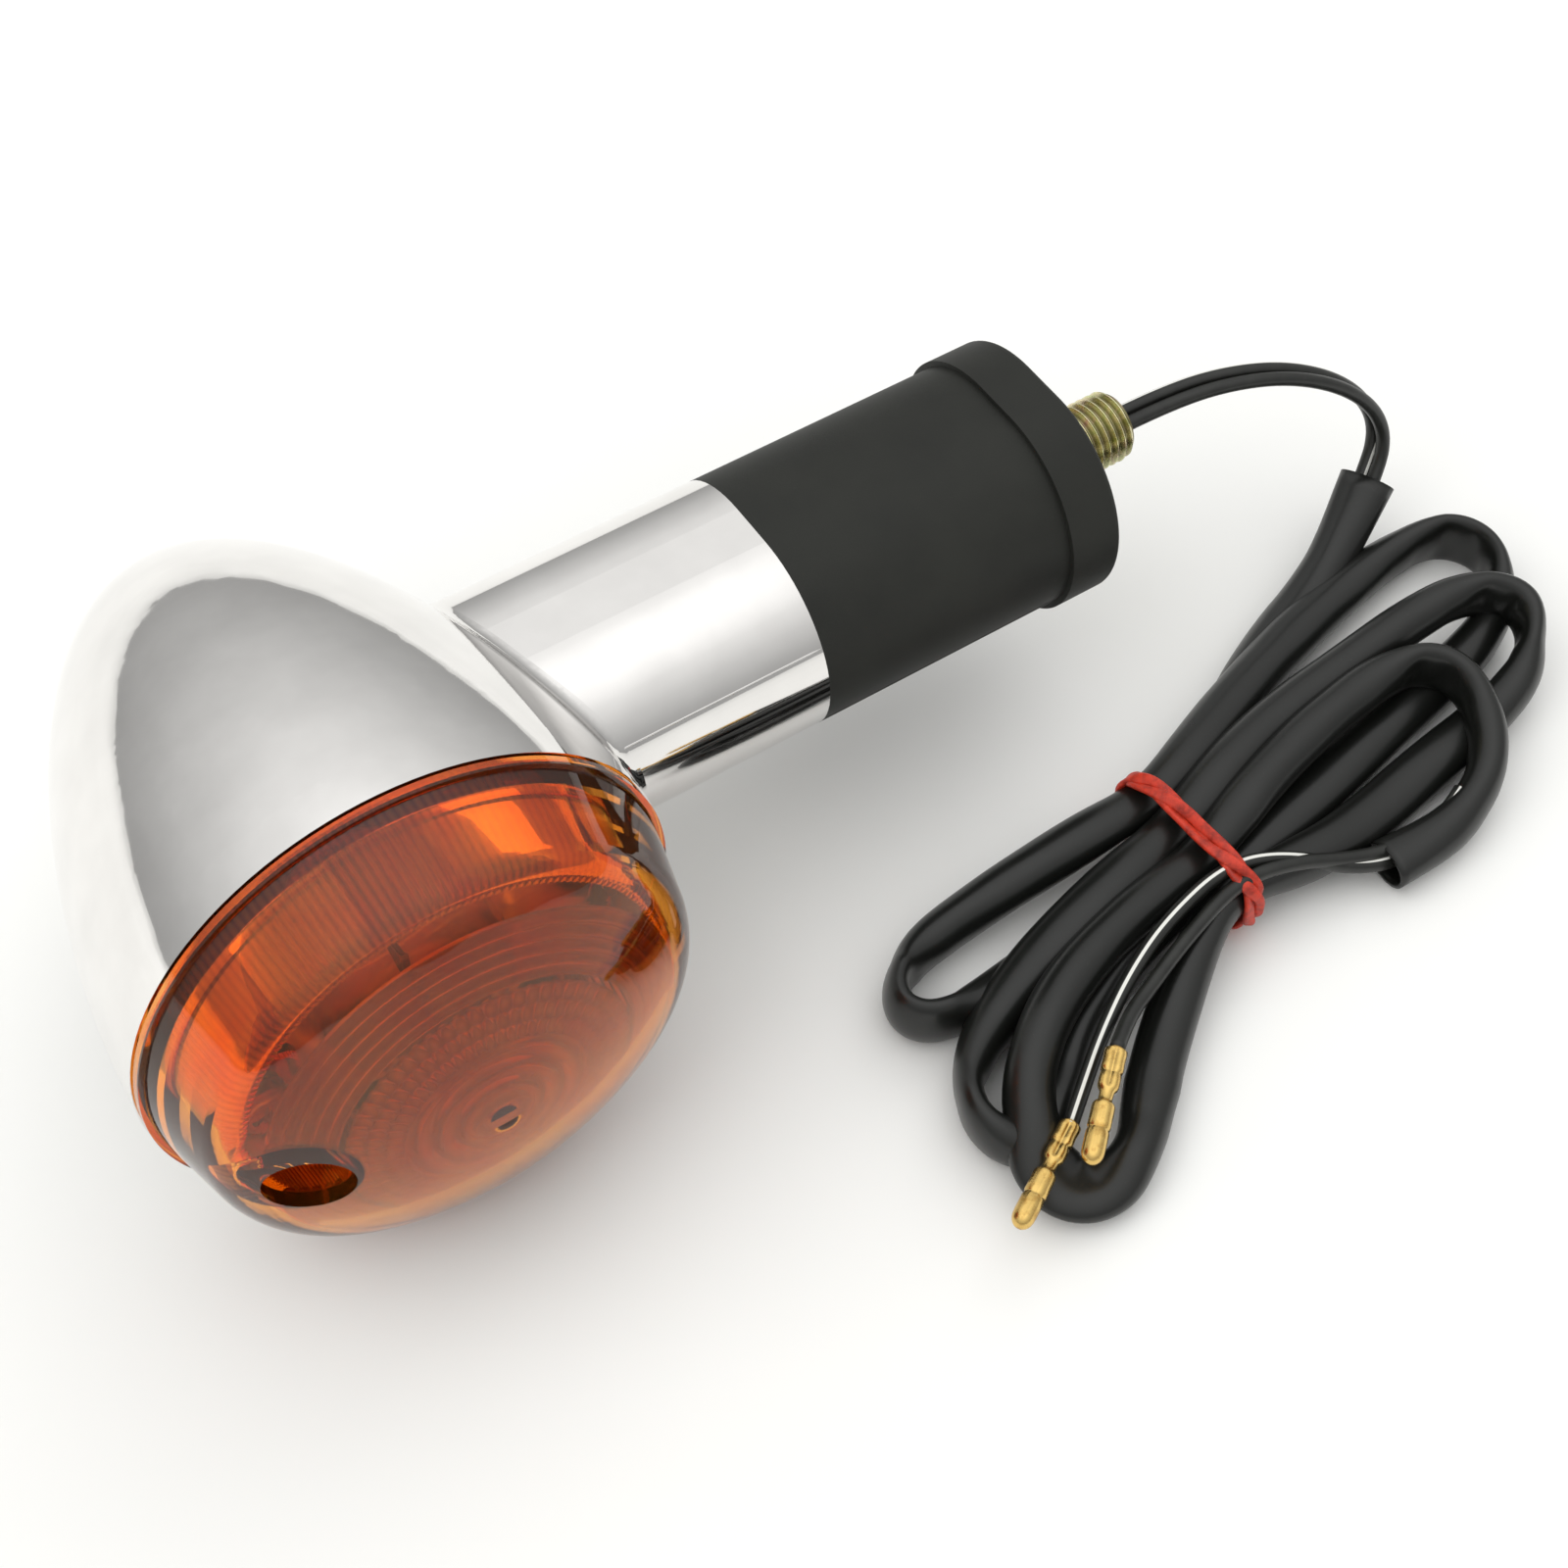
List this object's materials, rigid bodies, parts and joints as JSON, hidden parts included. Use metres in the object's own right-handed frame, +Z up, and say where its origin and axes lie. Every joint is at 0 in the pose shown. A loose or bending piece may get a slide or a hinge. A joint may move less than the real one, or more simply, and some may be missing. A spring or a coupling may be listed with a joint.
{
  "type": "turn signal indicator",
  "caption": "Motorcycle turn signal lamp with a chromed bullet housing, amber lens, bayonet bulb, rubber boot, hollow mounting stud and a lead with bullet terminals.",
  "frame": {"origin": "middle of the lamp (without its lead) at the surface that it stands on", "axes": "+X along the stem, out of its mounting stud; -Y the way the lens faces; +Z up"},
  "size_m": [0.2056, 0.125, 0.068],
  "materials": {
    "chrome": "polished chrome plating on a die casting",
    "amber_lens": "clear amber acrylic",
    "zinc_steel": "bright zinc plated",
    "seal_rubber": "soft rubber",
    "reflector_plastic": "metallised bowl",
    "brass": "stamped, bright",
    "insulator": "phenolic",
    "spring_steel": "drawn wire",
    "bulb_glass": "clear blown glass",
    "tungsten": "drawn wire",
    "solder": "solder",
    "boot_rubber": "matte with a fine grain",
    "yellow_zinc": "yellow passivated zinc",
    "wire_pvc": "black insulation",
    "striped_wire_pvc": "black insulation with a white stripe",
    "sleeve_pvc": "soft black tube",
    "band_rubber": "translucent red rubber"
  },
  "bodies": {
    "lamp": {"housing": "chrome", "lens_gasket": "seal_rubber", "reflector": "reflector_plastic", "bulb_socket": "zinc_steel", "socket_bracket": "zinc_steel", "bracket_screws": "zinc_steel", "bracket_washer": "zinc_steel", "ground_terminal": "brass", "contact_spring": "spring_steel", "rubber_boot": "boot_rubber", "core_plate": "yellow_zinc", "mounting_stud": "yellow_zinc", "wire_grommet": "seal_rubber", "feed_wire": "wire_pvc", "ground_wire": "striped_wire_pvc", "lead_hank": "sleeve_pvc", "rubber_band": "band_rubber", "feed_wire_lead": "wire_pvc", "ground_wire_lead": "striped_wire_pvc", "lead_sleeve": "sleeve_pvc", "feed_wire_tail": "wire_pvc", "ground_wire_tail": "striped_wire_pvc", "feed_bullet_terminal": "brass", "ground_bullet_terminal": "brass"},
    "lens_cover": {"lens": "amber_lens"},
    "cover_screw": {"lens_screw": "zinc_steel", "screw_seal": "seal_rubber"},
    "plunger": {"contact_plunger": "insulator", "plunger_contact": "brass"},
    "bulb": {"bulb_glass": "bulb_glass", "bulb_stem": "bulb_glass", "bulb_filament": "tungsten", "bulb_base": "brass", "bulb_pins": "brass", "bulb_insulator": "insulator", "bulb_button": "solder"}
  },
  "joints": [
    {"name": "lens_off", "type": "slide", "parent": "lamp", "child": "lens_cover", "axis": [0, -1, 0], "range_m": [0, 0.045]},
    {"name": "screw_turn", "type": "hinge", "parent": "lens_cover", "child": "cover_screw", "pos_m": [-0.0655, -0.0228, 0.034], "axis": [0, -1, 0], "continuous": true},
    {"name": "plunger_push", "type": "slide", "parent": "lamp", "child": "plunger", "axis": [0, 1, 0], "range_m": [0, 0.002], "stiffness_N_per_m": 900, "springref_m": -0.004, "deforming": ["contact_spring"]},
    {"name": "bulb_turn", "type": "hinge", "parent": "plunger", "child": "bulb", "pos_m": [-0.0435, -0.0228, 0.034], "axis": [0, -1, 0], "range_deg": [0, 18]}
  ]
}
